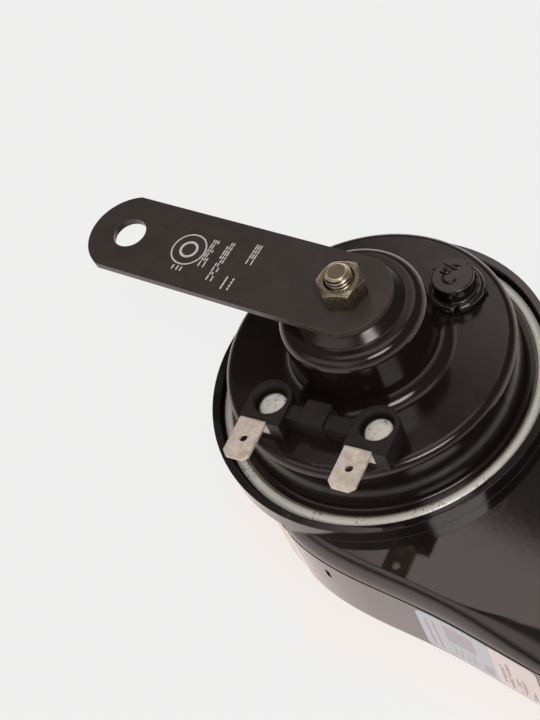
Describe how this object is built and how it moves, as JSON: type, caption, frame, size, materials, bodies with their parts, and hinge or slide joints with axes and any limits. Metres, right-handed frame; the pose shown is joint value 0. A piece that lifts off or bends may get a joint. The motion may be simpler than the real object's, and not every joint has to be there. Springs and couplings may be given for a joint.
{
  "type": "car horn",
  "caption": "Electric snail horn with a spiral trumpet, crimped drive unit, two blade terminals and a flat steel bracket.",
  "frame": {"origin": "where the drive unit's axis meets the trumpet's flat front face", "axes": "+Z along the drive unit's axis from the front face to the mounting stud, +X towards the trumpet's mouth, and the bracket reaches out along -X"},
  "size_m": [0.1466, 0.0915, 0.0693],
  "materials": {
    "black_plastic": "satin",
    "black_rubber": "matte",
    "gloss_black_steel": "gloss",
    "satin_black_steel": "satin",
    "zinc_steel": "satin",
    "olive_zinc_steel": "satin",
    "gasket_paper": "matte",
    "spring_steel": "satin",
    "soft_iron": "satin",
    "copper": "satin",
    "moulded_insulator": "matte",
    "phenolic": "matte",
    "tinned_brass": "satin",
    "contact_metal": "satin",
    "printed_film": "satin"
  },
  "bodies": {
    "horn": {"trumpet_front_half": "black_plastic", "trumpet_back_half": "black_plastic", "seal_ring": "black_rubber", "crimp_ring": "zinc_steel", "lower_gasket": "gasket_paper", "upper_gasket": "gasket_paper", "lip_gasket": "gasket_paper", "diaphragm": "spring_steel", "motor_housing": "gloss_black_steel", "pole_core": "olive_zinc_steel", "coil_bobbin": "moulded_insulator", "coil_winding": "copper", "coil_retainer": "zinc_steel", "breaker_plate": "zinc_steel", "upper_insulator": "phenolic", "contact_blade": "spring_steel", "middle_insulator": "phenolic", "fixed_arm": "zinc_steel", "lower_insulator": "phenolic", "breaker_rivets": "zinc_steel", "fixed_contact": "contact_metal", "adjusting_screw": "zinc_steel", "adjuster_plug": "black_rubber", "terminal_block": "black_plastic", "terminal_left": "tinned_brass", "terminal_right": "tinned_brass", "terminal_rivets": "zinc_steel", "inner_insulator": "phenolic", "lug_left": "tinned_brass", "lug_right": "tinned_brass", "coil_lead_in": "copper", "coil_lead_out": "copper", "breaker_lead": "copper", "bracket_lower_leaf": "satin_black_steel", "bracket_upper_leaf": "satin_black_steel", "mounting_nut": "olive_zinc_steel", "rating_sticker": "printed_film"},
    "armature": {"armature": "soft_iron", "armature_nut": "zinc_steel", "armature_washer": "zinc_steel", "pusher_pin": "phenolic"},
    "moving_contact": {"moving_contact": "contact_metal"}
  },
  "joints": [
    {"name": "armature_slide", "type": "slide", "parent": "horn", "child": "armature", "axis": [0, 0, 1], "range_m": [0, 0.0006], "stiffness_N_per_m": 2000, "deforming": ["diaphragm", "contact_blade"]},
    {"name": "contact_slide", "type": "slide", "parent": "horn", "child": "moving_contact", "axis": [0, 0, 1], "range_m": [0, 0.0003]}
  ],
  "couplings": [
    {"joint": "contact_slide", "follows": "armature_slide", "ratio": 0.459}
  ]
}
